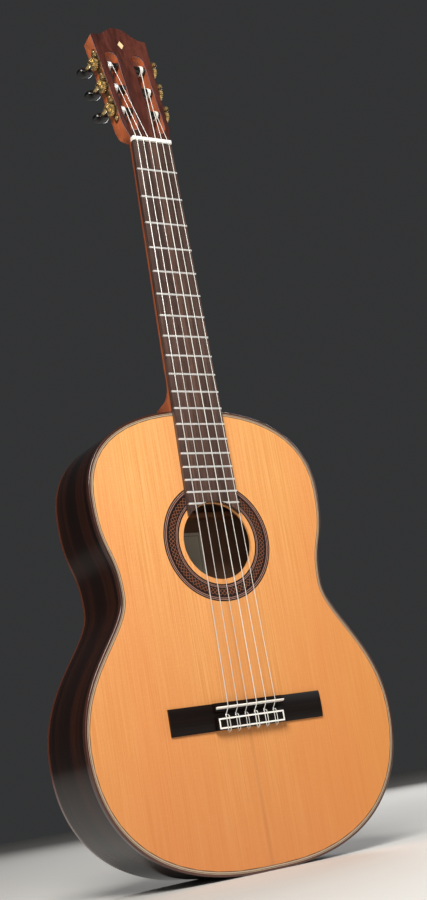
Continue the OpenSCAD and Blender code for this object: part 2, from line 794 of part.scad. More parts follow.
// Where a string reaches the front of its roller
function string_end(n) = let (
        r = string_r[n - 1], side = n > 3 ? -1 : 1, x = string_end_x[n - 1],
        post = post_z[n > 3 ? 6 - n : n - 1],
        reach = (head_hw(middle_z) + post * sin(taper) - x) / cos(taper))
    head_point(side * x, roller_y - roller_r - r - wrap_gap,
        middle_z + reach * sin(taper) + post * cos(taper));
function speaking_points(n) = let (r = string_r[n - 1]) [
    [string_x(n, string_gap_saddle), face_y - string_h_saddle - r, saddle_z],
    [string_x(n, string_gap_nut), face_y - string_h_nut - r, nut_z],
    string_end(n)
];
// The loop over the tie block, through its hole and up to the saddle
function tie_points(n) = let (r = string_r[n - 1], x = string_x(n, string_gap_saddle),
        top = face_y - tie_h - r - slot_gap, hole = face_y - tie_hole_h,
        back = bridge_z0 - r - 0.4, front = tie_z1 + r + 0.6) [
    [x + 2.2 * r, hole - 1.2, front + 1], [x + 1.1 * r, top, front], [x - 0.6, top, back],
    [x, hole, back], [x, hole, front]
];

module rod(a, b, r) {
    d = b - a;
    translate(a) rotate([0, acos(d.z / norm(d)), atan2(d.y, d.x)])
        cylinder(r = r, h = norm(d), $fn = 24);
}

module rope(points, r) {
    for (i = [0:len(points) - 2]) rod(points[i], points[i + 1], r);
    for (i = [1:len(points) - 2]) translate(points[i]) sphere(r = r * 1.1, $fn = 24);
}

module guitar_string(n) color(n > 3 ? "#c9cdd2" : "#e9e6dc")
    rope(concat(tie_points(n), speaking_points(n)), string_r[n - 1]);

soundboard();
rosette();
top_braces();
side_bass();
side_treble();
back_bass();
back_treble();
back_strip();
back_braces();
linings();
tail_block();
neck();
headstock();
top_binding();
back_binding();
top_purfling();
end_graft();
heel_cap();
label();
fingerboard();
frets();
nut();
head_veneer();
inlays();
bridge();
saddle();
tie_block_inlay();
guitar_string(1);  // string_1
guitar_string(2);  // string_2
guitar_string(3);  // string_3
guitar_string(4);  // string_4
guitar_string(5);  // string_5
guitar_string(6);  // string_6
tuner_plate_bass();
tuner_plate_treble();
plate_screws();
button(1);  // button_1
button(2);  // button_2
button(3);  // button_3
button(4);  // button_4
button(5);  // button_5
button(6);  // button_6
worm(1);  // worm_1
worm(2);  // worm_2
worm(3);  // worm_3
worm(4);  // worm_4
worm(5);  // worm_5
worm(6);  // worm_6
gear(1);  // gear_1
gear(2);  // gear_2
gear(3);  // gear_3
gear(4);  // gear_4
gear(5);  // gear_5
gear(6);  // gear_6
roller(1);  // roller_1
roller(2);  // roller_2
roller(3);  // roller_3
roller(4);  // roller_4
roller(5);  // roller_5
roller(6);  // roller_6
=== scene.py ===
"""Classical guitar: the looks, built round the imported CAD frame. +Z runs up the neck, -Y is the front.

Sizes of pieces are in millimetres, which add(), worked() and thread() turn into the frame's metres.
Materials, lights and the camera are in metres."""

import json
import math

import bmesh
import bpy
from mathutils import Matrix, Vector

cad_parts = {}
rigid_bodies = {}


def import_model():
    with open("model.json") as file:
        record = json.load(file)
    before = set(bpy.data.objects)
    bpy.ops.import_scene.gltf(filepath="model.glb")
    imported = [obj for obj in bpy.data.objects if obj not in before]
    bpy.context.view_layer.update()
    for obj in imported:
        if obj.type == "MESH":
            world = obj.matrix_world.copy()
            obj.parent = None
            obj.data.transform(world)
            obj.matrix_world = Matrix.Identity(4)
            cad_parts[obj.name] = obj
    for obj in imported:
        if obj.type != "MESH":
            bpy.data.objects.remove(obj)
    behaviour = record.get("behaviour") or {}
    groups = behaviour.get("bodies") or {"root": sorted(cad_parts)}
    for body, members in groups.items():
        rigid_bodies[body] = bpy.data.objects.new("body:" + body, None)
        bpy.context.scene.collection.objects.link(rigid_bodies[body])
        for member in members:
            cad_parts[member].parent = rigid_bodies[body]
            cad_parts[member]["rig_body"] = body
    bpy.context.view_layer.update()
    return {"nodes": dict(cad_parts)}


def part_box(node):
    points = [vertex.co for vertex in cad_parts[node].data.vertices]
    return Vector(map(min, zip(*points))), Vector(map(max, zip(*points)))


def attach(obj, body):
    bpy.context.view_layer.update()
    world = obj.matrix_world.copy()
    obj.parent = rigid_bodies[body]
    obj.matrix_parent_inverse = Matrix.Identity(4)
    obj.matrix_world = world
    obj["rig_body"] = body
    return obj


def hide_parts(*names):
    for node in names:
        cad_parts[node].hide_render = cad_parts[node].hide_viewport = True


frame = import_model()

MM = 0.001
X, Y, Z = 0, 1, 2


def span(node, axis):
    """Lowest and highest place of a CAD node along one axis."""
    low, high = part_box(node)
    return low[axis] / MM, high[axis] / MM


# ---------------------------------------------------------------- places read from the frame
BODY_LEN = span("top_binding", Z)[1]
FACE_Y = span("soundboard", Y)[0]
BACK_TAIL_Y = span("back_strip", Y)[1]
NUT_Z, NUT_BACK_Z = span("nut", Z)
SADDLE_Z = sum(span("saddle", Z)) / 2
BRIDGE_Z0 = span("bridge", Z)[0]
PURFLING_W = span("soundboard", Z)[0] - span("top_purfling", Z)[0]
HOLE_Z = sum(span("rosette", Z)) / 2

# ---------------------------------------------------------------- the design's other dimensions
LOWER_HW, LOWER_Z = 189, 145
WAIST_HW, WAIST_Z = 127, 293.5
UPPER_HW, UPPER_Z = 145, 399
TAIL_FLAT = 12
BACK_NECK_Y, BACK_R = 35.5, 4400
PLATE_T, SIDE_T = 2.5, 2.4
TOP_BINDING_H, BACK_BINDING_H = 5.5, 5
STRIP_HW, WEB_HW = 3, 8
BOARD_HW_NUT, BOARD_HW_12 = 25.4, 30.25
SCALE = 650
HEAD_TILT = math.radians(12.3)
HEAD_Y = FACE_Y - 3.7
VENEER_T, HEAD_T = 2.5, 21
HEAD_HW_LOW, SHOULDER_LOW_Z = 30.7, 22
HEAD_HW_TOP, SHOULDER_TOP_Z = 36.8, 158
MIDDLE_Z, ROLLER_PITCH, ROLLER_Y, ROLLER_R = 80, 35, 7.8, 5
HEAD_TAPER = math.atan((HEAD_HW_TOP - HEAD_HW_LOW) / (SHOULDER_TOP_Z - SHOULDER_LOW_Z))
HEEL_TOP_Z, HEEL_BASE_Z, HEEL_HW, HEEL_OVER = 545, 507, 11, 3
STRING_R = [0.355, 0.41, 0.51, 0.38, 0.455, 0.56]
STRING_END_X = [20.5, 20, 19.5, 19.5, 20, 20.5]
STRING_GAP_NUT, STRING_GAP_SADDLE = 8.4, 11.8
STRING_H_NUT, STRING_H_SADDLE = 7.3, 12.3
TIE_H, TIE_HOLE_H, TIE_DEPTH = 8.5, 4.6, 13
WRAP_TURNS = [4.4, 4.2, 3.6, 5.0, 4.3, 3.8]


# ---------------------------------------------------------------- meshes
# Angles in degrees: edges stay sharp in the shading above the first, are bevelled above the second, and
# are taken out below the third. The weld is in metres.
SMOOTH_BELOW, SHARP, FLAT, WELD = 35, 28, 0.4, 2e-6


def add(name, points, faces, material, smooth_below=SMOOTH_BELOW, run=None):
    """A mesh piece from points in millimetres. run is a coordinate along the grain for each point."""
    mesh = bpy.data.meshes.new(name)
    mesh.from_pydata([Vector(p) * MM for p in points], [], faces)
    if run:
        layer = mesh.attributes.new("run", "FLOAT_VECTOR", "POINT")
        layer.data.foreach_set("vector", [c * MM for r in run for c in r])
    work = bmesh.new()
    work.from_mesh(mesh)
    bmesh.ops.recalc_face_normals(work, faces=work.faces)
    soften(work, mesh, smooth_below)
    return place(name, mesh, material, "guitar")


def soften(work, mesh, smooth_below):
    """Smooth faces, with sharp edges wherever two of them meet at more than the angle."""
    for face in work.faces:
        face.smooth = True
    for edge in work.edges:
        gentle = edge.calc_face_angle(0) < math.radians(smooth_below)
        edge.smooth = len(edge.link_faces) == 2 and gentle
    work.to_mesh(mesh)
    work.free()


def place(name, data, material, body):
    """An object for a mesh or curve, which moves with a body."""
    obj = bpy.data.objects.new(name, data)
    bpy.context.scene.collection.objects.link(obj)
    data.materials.append(material)
    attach(obj, body)
    return obj


def stand_in(obj, node):
    """obj takes a CAD node's place: the node is hidden."""
    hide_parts(node)


def worked(node, material, edge):
    """A CAD node with its flat faces rejoined and its sharp edges broken by a small round."""
    source = frame["nodes"][node]
    work = bmesh.new()
    work.from_mesh(source.data)
    bmesh.ops.remove_doubles(work, verts=work.verts, dist=WELD)
    bmesh.ops.dissolve_limit(work, angle_limit=math.radians(FLAT), verts=work.verts, edges=work.edges)
    if edge:
        sharp = [e for e in work.edges if e.calc_face_angle(0) > math.radians(SHARP)]
        bmesh.ops.bevel(work, geom=sharp, offset=edge * MM, segments=2, profile=0.5,
                        affect="EDGES", clamp_overlap=True)
    mesh = bpy.data.meshes.new(node + ".worked")
    soften(work, mesh, SMOOTH_BELOW)
    stand_in(place(node + ".worked", mesh, material, source["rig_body"]), node)


# ---------------------------------------------------------------- outline of the body
CURVES = [
    [(TAIL_FLAT, 0), (TAIL_FLAT + 116, 0), (LOWER_HW, LOWER_Z - 87.5), (LOWER_HW, LOWER_Z)],
    [(LOWER_HW, LOWER_Z), (LOWER_HW, LOWER_Z + 75), (WAIST_HW, WAIST_Z - 37), (WAIST_HW, WAIST_Z)],
    [(WAIST_HW, WAIST_Z), (WAIST_HW, WAIST_Z + 50), (UPPER_HW, UPPER_Z - 61), (UPPER_HW, UPPER_Z)],
    [(UPPER_HW, UPPER_Z), (UPPER_HW, UPPER_Z + 65), (86, BODY_LEN), (0, BODY_LEN)],
]
STEPS = 40


def rim_point(curve, t, inset):
    """A point of the outline, moved inwards by inset at right angles to the curve."""
    p = [Vector(q) for q in curve]
    s = 1 - t
    at = s**3 * p[0] + 3 * s * s * t * p[1] + 3 * s * t * t * p[2] + t**3 * p[3]
    way = (s * s * (p[1] - p[0]) + 2 * s * t * (p[2] - p[1]) + t * t * (p[3] - p[2])).normalized()
    return at - inset * Vector((way.y, -way.x))


def half_outline(inset):
    """Points of one half, from the tail to the neck."""
    ends = [(curve, i / STEPS) for curve in CURVES for i in range(STEPS)] + [(CURVES[3], 1)]
    return [rim_point(curve, t, inset) for curve, t in ends]


def arc_lengths():
    """How far along the outline each point lies."""
    points = half_outline(0)
    lengths = [0.0]
    for a, b in zip(points, points[1:]):
        lengths.append(lengths[-1] + (b - a).length)
    return lengths


ARCS = arc_lengths()
BACK_SLOPE = math.atan((BACK_TAIL_Y - BACK_NECK_Y) / BODY_LEN)


def back_y(x, z, depth=0.0):
    """Place of the arched back, depth below its outer face."""
    fall = BACK_R - math.sqrt((BACK_R - depth) ** 2 - x * x)
    return BACK_TAIL_Y - fall / math.cos(BACK_SLOPE) - z * math.tan(BACK_SLOPE)


def place_on_wall(point, side, depth):
    """A point of a wall, depth behind the soundboard's face or in front of the back's."""
    x, z = point
    return (x, FACE_Y + depth if side == "front" else back_y(x, z, depth), z)


def wall(name, profile, material, part, node):
    """A profile of (inset, side, depth), swept round the outline: all of it, or one half."""
    rows, runs = [], []
    columns = [half_outline(inset) for inset, side, depth in profile]
    for i in range(len(ARCS)):
        row = [place_on_wall(column[i], side, depth)
               for column, (inset, side, depth) in zip(columns, profile)]
        rows.append(row)
        runs.append([(ARCS[i], p[1], inset) for p, (inset, side, depth) in zip(row, profile)])
    mirror = [[(-x, y, z) for x, y, z in row] for row in rows]
    if part == "all":
        rows, runs = rows + mirror[-2::-1], runs + runs[-2::-1]
    else:
        keep = [i for i, row in enumerate(rows) if row[0][0] > WEB_HW]
        rows = [(mirror if part == "bass" else rows)[i] for i in keep]
        runs = [runs[i] for i in keep]
    n, m = len(rows), len(profile)
    faces = [(i * m + j, i * m + (j + 1) % m, (i + 1) % n * m + (j + 1) % m, (i + 1) % n * m + j)
             for i in range(n if part == "all" else n - 1) for j in range(m)]
    if part != "all":
        faces += [tuple(range(m)), tuple((n - 1) * m + j for j in range(m))]
    points = [p for row in rows for p in row]
    stand_in(add(name, points, faces, material, run=[r for run in runs for r in run]), node)


def plate(name, rows, depth, material, node):
    """A plate of the back: rows of (x, z) points on its outer face, and the same rows below it."""
    n, m = len(rows), len(rows[0])
    points = [(x, back_y(x, z, d), z) for d in (0, depth) for row in rows for x, z in row]
    faces = []
    for layer in (0, n * m):
        faces += [(layer + i * m + j, layer + i * m + j + 1, layer + (i + 1) * m + j + 1,
                   layer + (i + 1) * m + j) for i in range(n - 1) for j in range(m - 1)]
    edge = ([j for j in range(m)] + [i * m + m - 1 for i in range(1, n)]
            + [(n - 1) * m + j for j in range(m - 2, -1, -1)] + [i * m for i in range(n - 2, 0, -1)])
    faces += [(a, b, b + n * m, a + n * m) for a, b in zip(edge, edge[1:] + edge[:1])]
    stand_in(add(name, points, faces, material), node)


def round_corner(side, radius):
    """Points of a rounded corner of a wall's profile at its outer face."""
    turns = [math.radians(a) for a in (0, 22.5, 45, 67.5, 90)]
    return [(radius * (1 - math.cos(a)), side, radius * (1 - math.sin(a))) for a in turns]


# ---------------------------------------------------------------- node graphs for materials
class Graph:
    """A short way to write a procedural material. Places are object coordinates, in metres."""

    def __init__(self, name):
        self.material = bpy.data.materials.new(name)
        self.material.use_nodes = True
        self.tree = self.material.node_tree
        self.shader = self.tree.nodes["Principled BSDF"]
        self.place = self.node("ShaderNodeTexCoord").outputs["Object"]

    def node(self, kind, inputs=None, **settings):
        made = self.tree.nodes.new(kind)
        for key, value in settings.items():
            setattr(made, key, value)
        for key, value in (inputs or {}).items():
            self.set(made.inputs[key], value)
        return made

    def set(self, socket, value):
        if isinstance(value, bpy.types.NodeSocket):
            self.tree.links.new(value, socket)
        elif isinstance(value, tuple) and len(value) == 3 and len(socket.default_value) == 4:
            socket.default_value = (*value, 1.0)
        else:
            socket.default_value = value

    def math(self, operation, a, b=0.0, c=0.0):
        return self.node("ShaderNodeMath", {0: a, 1: b, 2: c}, operation=operation).outputs[0]

    def split(self, vector=None):
        return self.node("ShaderNodeSeparateXYZ", {0: vector or self.place}).outputs

    def join(self, x, y, z):
        return self.node("ShaderNodeCombineXYZ", {0: x, 1: y, 2: z}).outputs[0]

    def along_grain(self):
        """The piece's own coordinate along its bend, with the depth as its second part."""
        return self.node("ShaderNodeAttribute", attribute_name="run").outputs["Vector"]

    def noise(self, vector, scale=1.0, detail=3.0, roughness=0.55):
        inputs = {"Vector": vector, "Scale": scale, "Detail": detail, "Roughness": roughness}
        return self.node("ShaderNodeTexNoise", inputs).outputs["Fac"]

    def ramp(self, fac, stops, interpolation="LINEAR"):
        made = self.node("ShaderNodeValToRGB", {"Fac": fac})
        made.color_ramp.interpolation = interpolation
        while len(made.color_ramp.elements) < len(stops):
            made.color_ramp.elements.new(0.5)
        for element, (position, value) in zip(made.color_ramp.elements, stops):
            element.position = position
            element.color = (*value, 1.0) if isinstance(value, tuple) else (value, value, value, 1.0)
        return made.outputs["Color"]

    def mix(self, fac, a, b, blend_type="MIX"):
        made = self.node("ShaderNodeMix", data_type="RGBA", blend_type=blend_type)
        for socket, value in zip((made.inputs[0], made.inputs[6], made.inputs[7]), (fac, a, b)):
            self.set(socket, value)
        return made.outputs[2]

    def band(self, value, low, high):
        """1 where value is between two limits, else 0."""
        above = self.math("GREATER_THAN", value, low)
        return self.math("MULTIPLY", above, self.math("LESS_THAN", value, high))

    def bump(self, height, strength, distance):
        inputs = {"Height": height, "Strength": strength, "Distance": distance}
        return self.node("ShaderNodeBump", inputs).outputs[0]

    def finish(self, **sockets):
        """Sets the shader's sockets, named with underscores for their spaces."""
        for key, value in sockets.items():
            self.set(self.shader.inputs[key.replace("_", " ")], value)
        return self.material


def srgb(r, g, b):
    """A colour given as it looks on a screen, 0 to 255, as the linear numbers that nodes take."""
    return tuple(c / 255 / 12.92 if c < 11 else ((c / 255 + 0.055) / 1.055) ** 2.4 for c in (r, g, b))


def timber(name, dark, mid, light, spacing, vector=None, axis=Z, mirror=False, sway=0.0015,
           pores=0.0, contrast=1.0, rough=0.35, coat=0.0, coat_rough=0.08, figure=0.3, blotch=0.4):
    """Straight-grained wood. spacing is that of its lines in metres, and axis the way that they run.

    sway is how far the lines wander, figure the share of the broad bands in their tone, and blotch the
    strength of the light clouds over them."""
    g = Graph(name)
    parts = list(g.split(vector(g) if vector else None))
    if mirror:
        parts[X] = g.math("ABSOLUTE", parts[X])

    def stretched(along, across):
        return g.join(*(g.math("MULTIPLY", parts[i], along if i == axis else across) for i in (X, Y, Z)))

    slow = g.noise(stretched(3, 14), 1, 2)
    for i in (X, Y, Z):
        if i != axis:
            parts[i] = g.math("MULTIPLY_ADD", slow, sway, parts[i])
    lines = stretched(0.012, 1.0)
    fine = g.noise(lines, 0.8 / spacing, 3, 0.6)
    broad = g.noise(lines, 0.13 / spacing, 2, 0.5)
    cloud = g.noise(stretched(0.35, 1.0), 11, 3)
    tone = g.math("MULTIPLY_ADD", g.math("SUBTRACT", broad, fine), figure, fine)
    spread = 0.2 / contrast
    colour = g.ramp(tone, [(0.5 - spread, dark), (0.5, mid), (0.5 + spread, light)])
    colour = g.mix(g.ramp(cloud, [(0.38, 0.0), (0.66, blotch)]), colour, light)
    height = fine
    if pores:
        pore = g.ramp(g.noise(stretched(0.06, 1.0), 1500, 2), [(0.58, 0.0), (0.66, 1.0)])
        pore = g.math("MULTIPLY", pore, pores)
        colour = g.mix(pore, colour, tuple(c * 0.3 for c in dark))
        height = g.math("SUBTRACT", fine, pore)
    return g, colour, dict(Roughness=rough, Coat_Weight=coat, Coat_Roughness=coat_rough,
                           Normal=g.bump(height, 0.1, 0.0003))


def plain_timber(name, *args, **settings):
    """A finished material of straight-grained wood."""
    g, colour, rest = timber(name, *args, **settings)
    return g.finish(Base_Color=colour, **rest)


def turned(name, colour, metallic, rough, wear, scale=900.0, **sockets):
    """A hard smooth material with fine uneven polish."""
    g = Graph(name)
    cloud = g.noise(g.place, scale, 4)
    worn = tuple(c * (1 - wear) for c in colour)
    tint = g.mix(g.ramp(cloud, [(0.35, 0.0), (0.75, 1.0)]), colour, worn)
    broad = g.noise(g.place, scale / 12, 2)
    return g.finish(Base_Color=tint, Metallic=metallic, Normal=g.bump(cloud, 0.04, 0.0002),
                    Roughness=g.ramp(broad, [(0.3, rough * 0.8), (0.7, rough * 1.25)]), **sockets)


# ---------------------------------------------------------------- materials
def cedar_top():
    """Bookmatched cedar: fine lines that mirror about the centre seam, pinker and darker in places, with
    painted shade that darkens it to a deeper orange towards the tail and the treble side.
    """
    g, colour, rest = timber(
        "cedar_top", srgb(222, 152, 84), srgb(236, 172, 102), srgb(246, 188, 120), 0.0012, mirror=True,
        sway=0.001, contrast=1.2, rough=0.42, coat=0.3, coat_rough=0.16, figure=0.05, blotch=0.1)
    x, _, z = g.split()
    half = g.math("ABSOLUTE", x)
    zones = g.noise(g.join(g.math("MULTIPLY", half, 14), 0.0, g.math("MULTIPLY", z, 1.6)), 1.0, 3)
    colour = g.mix(g.ramp(zones, [(0.36, 0.0), (0.66, 0.4)]), colour, srgb(236, 146, 92))
    drift = g.noise(g.join(g.math("MULTIPLY", half, 9), 0.0, g.math("MULTIPLY", z, 2)), 1.0, 2)
    year = 0.00145
    ring = g.math("PINGPONG", g.math("DIVIDE", g.math("MULTIPLY_ADD", drift, 0.014, half), year), 0.5)
    colour = g.mix(g.ramp(ring, [(0.26, 0.0), (0.5, 0.3)]), colour, srgb(196, 112, 56))
    silk = g.noise(g.join(g.math("MULTIPLY", x, 90), 0.0, g.math("MULTIPLY", z, 900)), 1.0, 2)
    colour = g.mix(g.ramp(silk, [(0.45, 0.0), (0.8, 0.22)]), colour, srgb(252, 194, 128))
    # Painted shade: the top turns darker and deeper orange towards the tail.
    lower = g.ramp(z, [(0.0, 0.62), (0.2, 0.3), (0.42, 0.0)])
    colour = g.mix(lower, colour, srgb(192, 104, 40))
    # Painted shade: the treble side turns a darker, deeper orange.
    treble = g.ramp(x, [(0.0, 0.0), (0.16, 0.3)])
    colour = g.mix(treble, colour, srgb(228, 144, 62))
    seam = g.ramp(half, [(0.0, 0.2), (0.0003, 0.0)])
    colour = g.mix(seam, colour, srgb(150, 84, 42))
    return g.finish(Base_Color=colour, **rest)


def rosette_wood():
    """Rings of dark and brown wood with fine light lines, and a woven band of small diamonds."""
    weave_r1, weave_r2, weave_count, rows = 52.6, 59.8, 76, 1.5
    dark, lattice, light = srgb(8, 4, 4), srgb(134, 82, 57), srgb(196, 150, 134)
    lines = ((65.4, 66.5, dark), (64.2, 64.7, light), (62.4, 62.9, light), (weave_r2, 60.7, dark),
             (51.7, weave_r1, dark), (50.8, 51.2, light), (49.4, 49.8, light), (47.0, 48.3, dark))
    g = Graph("marquetry")
    x, _, z = g.split()
    up = g.math("SUBTRACT", z, HOLE_Z * MM)
    squares = g.math("ADD", g.math("MULTIPLY", x, x), g.math("MULTIPLY", up, up))
    radius = g.math("DIVIDE", g.math("SQRT", squares), MM)
    angle = g.math("ARCTAN2", up, x)
    grain = g.noise(g.join(radius, g.math("MULTIPLY", angle, 24), 0.0), 1.6, 4)
    colour = g.mix(g.ramp(grain, [(0.35, 0.0), (0.65, 1.0)]), srgb(26, 12, 10), srgb(52, 25, 20))
    along = g.math("MULTIPLY", angle, weave_count / (2 * math.pi))
    out = g.math("DIVIDE", g.math("SUBTRACT", radius, weave_r1), (weave_r2 - weave_r1) / rows)
    first = g.math("PINGPONG", g.math("ADD", along, out), 0.5)
    second = g.math("PINGPONG", g.math("SUBTRACT", along, out), 0.5)
    diamond = g.math("GREATER_THAN", g.math("MINIMUM", first, second), 0.1)
    mosaic = g.mix(diamond, lattice, dark)
    colour = g.mix(g.band(radius, weave_r1, weave_r2), colour, mosaic)
    for low, high, line in lines:
        colour = g.mix(g.band(radius, low, high), colour, line)
    return g.finish(Base_Color=colour, Roughness=0.4, Coat_Weight=0.4, Coat_Roughness=0.1,
                    Normal=g.bump(grain, 0.06, 0.0002))


def side_rosewood():
    """Nearly black rosewood under a deep gloss, with brown figure where the light catches it."""
    g, colour, rest = timber("rosewood_body", srgb(7, 4, 3), srgb(20, 10, 7), srgb(52, 24, 14), 0.004,
                             vector=Graph.along_grain, axis=X, sway=0.012, figure=0.6, contrast=1.3,
                             pores=0.35, rough=0.5, coat=1.0, coat_rough=0.04, blotch=0.2)
    return g.finish(Base_Color=colour, Coat_IOR=1.25, Specular_IOR_Level=0.1, **rest)


def back_rosewood():
    """The back: glossy rosewood outside, and the same wood bare and paler inside."""
    g, colour, rest = timber("rosewood_back", srgb(9, 5, 4), srgb(27, 13, 10), srgb(60, 29, 18), 0.004,
                             mirror=True, sway=0.012, figure=0.6, contrast=1.3, pores=0.35, rough=0.35,
                             coat=1.0, coat_rough=0.035, blotch=0.25)
    facing = g.split(g.node("ShaderNodeNewGeometry").outputs["True Normal"])[Y]
    inside = g.math("LESS_THAN", facing, -0.5)
    bare = g.mix(0.75, colour, srgb(150, 112, 88))
    rest["Coat_Weight"] = g.math("SUBTRACT", 1.0, inside)
    return g.finish(Base_Color=g.mix(inside, colour, bare), **rest)


def strip_wood():
    """The back's centre strip: light wood between two dark lines, with small slanting blocks."""
    g = Graph("light_strip")
    x, y, z = g.split()
    side = g.math("ABSOLUTE", x)
    slant = g.math("PINGPONG", g.math("DIVIDE", g.math("ADD", z, side), 0.004), 0.5)
    block = g.math("GREATER_THAN", slant, 0.27)
    colour = g.mix(block, srgb(196, 150, 98), srgb(104, 58, 34))
    colour = g.mix(g.math("GREATER_THAN", side, 0.0016), colour, srgb(216, 184, 138))
    colour = g.mix(g.math("GREATER_THAN", side, 0.0023), colour, srgb(40, 22, 16))
    grain = g.noise(g.join(x, y, g.math("MULTIPLY", z, 0.05)), 1400, 3)
    return g.finish(Base_Color=colour, Roughness=0.35, Coat_Weight=1.0, Coat_Roughness=0.04,
                    Normal=g.bump(grain, 0.05, 0.0002))


def purfling_wood():
    """Thin light and dark lines that follow the edge."""
    g = Graph("light_purfling")
    inset = g.split(g.along_grain())[Z]
    grain = g.noise(g.place, 1200, 3)
    colour = g.mix(grain, srgb(196, 176, 150), srgb(164, 142, 116))
    brown_from, dark_from, dark_to = ((SIDE_T + share * PURFLING_W) * MM for share in (0.78, 0.18, 0.36))
    brown = g.mix(grain, srgb(96, 66, 46), srgb(122, 88, 62))
    colour = g.mix(g.math("GREATER_THAN", inset, brown_from), colour, brown)
    colour = g.mix(g.band(inset, dark_from, dark_to), colour, srgb(58, 30, 24))
    return g.finish(Base_Color=colour, Roughness=0.35, Coat_Weight=0.6, Coat_Roughness=0.08,
                    Normal=g.bump(grain, 0.04, 0.0002))


def head_veneer_wood():
    """Red-brown rosewood over a thin light line, which shows all round the head's edge and its slots."""
    g, colour, rest = timber("head_rosewood", srgb(38, 17, 14), srgb(68, 32, 25), srgb(98, 50, 39), 0.003,
                             sway=0.0015, figure=0.6, contrast=1.4, pores=0.15, blotch=0.12, rough=0.35,
                             coat=0.6, coat_rough=0.08)
    _, y, z = g.split()
    behind = g.math("MULTIPLY", g.math("SUBTRACT", y, HEAD_Y * MM), math.cos(HEAD_TILT))
    fall = g.math("MULTIPLY", g.math("SUBTRACT", z, NUT_BACK_Z * MM), math.sin(HEAD_TILT))
    depth = g.math("SUBTRACT", behind, fall)
    colour = g.mix(g.band(depth, 0.00125, 0.0021), colour, srgb(176, 138, 140))
    return g.finish(Base_Color=colour, **rest)


def bridge_wood():
    """Nearly black rosewood with a dull polish."""
    g, colour, rest = timber("bridge_rosewood", srgb(6, 4, 3), srgb(14, 8, 6), srgb(30, 17, 13), 0.0018,
                             axis=X, pores=0.4, rough=0.34)
    return g.finish(Base_Color=colour, Specular_IOR_Level=0.2, **rest)


def wound_metal():
    """Silver-plated wire wound closely round the string: fine rings along it."""
    g = Graph("silver_wound")
    z = g.split()[Z]
    wire_pitch = 0.0005
    turns = g.math("SINE", g.math("MULTIPLY", z, 2 * math.pi / wire_pitch))
    cloud = g.noise(g.place, 300, 3)
    tint = g.mix(cloud, srgb(244, 242, 238), srgb(214, 210, 204))
    return g.finish(Base_Color=tint, Metallic=0.55, Roughness=0.3, Normal=g.bump(turns, 0.2, 0.00008))


def engraved_brass():
    """Lacquered brass plate with fine scrolls cut into its face."""
    g = Graph("plate_brass")
    wave = {"Vector": g.place, "Scale": 300.0, "Distortion": 4.0, "Detail": 1.0, "Detail Scale": 1.6}
    swirl = g.node("ShaderNodeTexWave", wave, wave_type="RINGS").outputs["Fac"]
    cut = g.ramp(swirl, [(0.0, 0.0), (0.18, 1.0)])
    cloud = g.noise(g.place, 260, 3)
    tint = g.mix(cloud, srgb(136, 110, 76), srgb(98, 76, 52))
    tint = g.mix(cut, srgb(70, 50, 34), tint)
    return g.finish(Base_Color=tint, Metallic=0.8, Roughness=0.42, Normal=g.bump(cut, 0.05, 0.0001))


def paper():
    """A blank label with a thin line round it, a little way in from its edge."""
    g = Graph("label_paper")
    x, _, z = g.split()
    fibres = g.noise(g.place, 700, 5, 0.7)
    colour = g.mix(fibres, srgb(228, 222, 204), srgb(206, 198, 176))
    label_x = span("label", X)[1] * MM
    label_z0, label_z1 = (v * MM for v in span("label", Z))
    from_middle = g.math("ABSOLUTE", g.math("SUBTRACT", z, (label_z0 + label_z1) / 2))
    past_edge = g.math("MAXIMUM", g.math("SUBTRACT", g.math("ABSOLUTE", x), label_x),
                       g.math("SUBTRACT", from_middle, (label_z1 - label_z0) / 2))
    colour = g.mix(g.band(past_edge, -0.0040, -0.0034), colour, srgb(150, 128, 92))
    return g.finish(Base_Color=colour, Roughness=0.85, Normal=g.bump(fibres, 0.1, 0.0002))


CEDAR = cedar_top()
ROSETTE = rosette_wood()
SIDES = side_rosewood()
BACK = back_rosewood()
STRIP = strip_wood()
PURFLING = purfling_wood()
SPRUCE = plain_timber("spruce_bracing", srgb(190, 150, 100), srgb(214, 178, 126), srgb(226, 196, 148),
                      0.0014, rough=0.7)
LINING = plain_timber("cedar_lining", srgb(120, 74, 44), srgb(152, 98, 60), srgb(176, 120, 78), 0.0016,
                      rough=0.75)
NECK = plain_timber("neck_wood", srgb(134, 64, 35), srgb(172, 88, 51), srgb(204, 116, 74), 0.0022,
                    sway=0.004, figure=0.5, pores=0.3, rough=0.4, coat=0.5, coat_rough=0.1)
TOP_BINDING = plain_timber("dark_binding", srgb(34, 16, 11), srgb(62, 30, 20), srgb(88, 46, 30), 0.002,
                           vector=Graph.along_grain, axis=X, rough=0.35, coat=0.8, coat_rough=0.06)
BACK_BINDING = plain_timber("brown_binding", srgb(58, 26, 15), srgb(92, 44, 26), srgb(122, 62, 38), 0.002,
                            vector=Graph.along_grain, axis=X, rough=0.35, coat=0.8, coat_rough=0.06)
HEEL_CAP = plain_timber("heel_rosewood", srgb(20, 11, 8), srgb(40, 21, 15), srgb(62, 33, 22), 0.003,
                        rough=0.35, coat=0.8, coat_rough=0.06)
BOARD = plain_timber("board_rosewood", srgb(34, 22, 19), srgb(66, 46, 40), srgb(106, 76, 62), 0.0011,
                     sway=0.003, figure=0.55, contrast=1.4, pores=0.7, rough=0.46, coat=0.12,
                     coat_rough=0.25, blotch=0.3)
HEAD_VENEER = head_veneer_wood()
BRIDGE = bridge_wood()
INLAY = plain_timber("inlay_wood", srgb(206, 170, 118), srgb(226, 196, 148), srgb(238, 214, 172), 0.001,
                     rough=0.35, coat=0.7)
BONE = turned("bone", srgb(250, 247, 240), 0.0, 0.3, 0.06, 500, Subsurface_Weight=0.15,
              Subsurface_Radius=(0.002, 0.0015, 0.001))
NICKEL = turned("fret_wire", srgb(246, 245, 243), 0.5, 0.3, 0.06, 700)
BRASS = turned("turned_brass", srgb(244, 212, 146), 0.85, 0.26, 0.08, 800)
PLATE = engraved_brass()
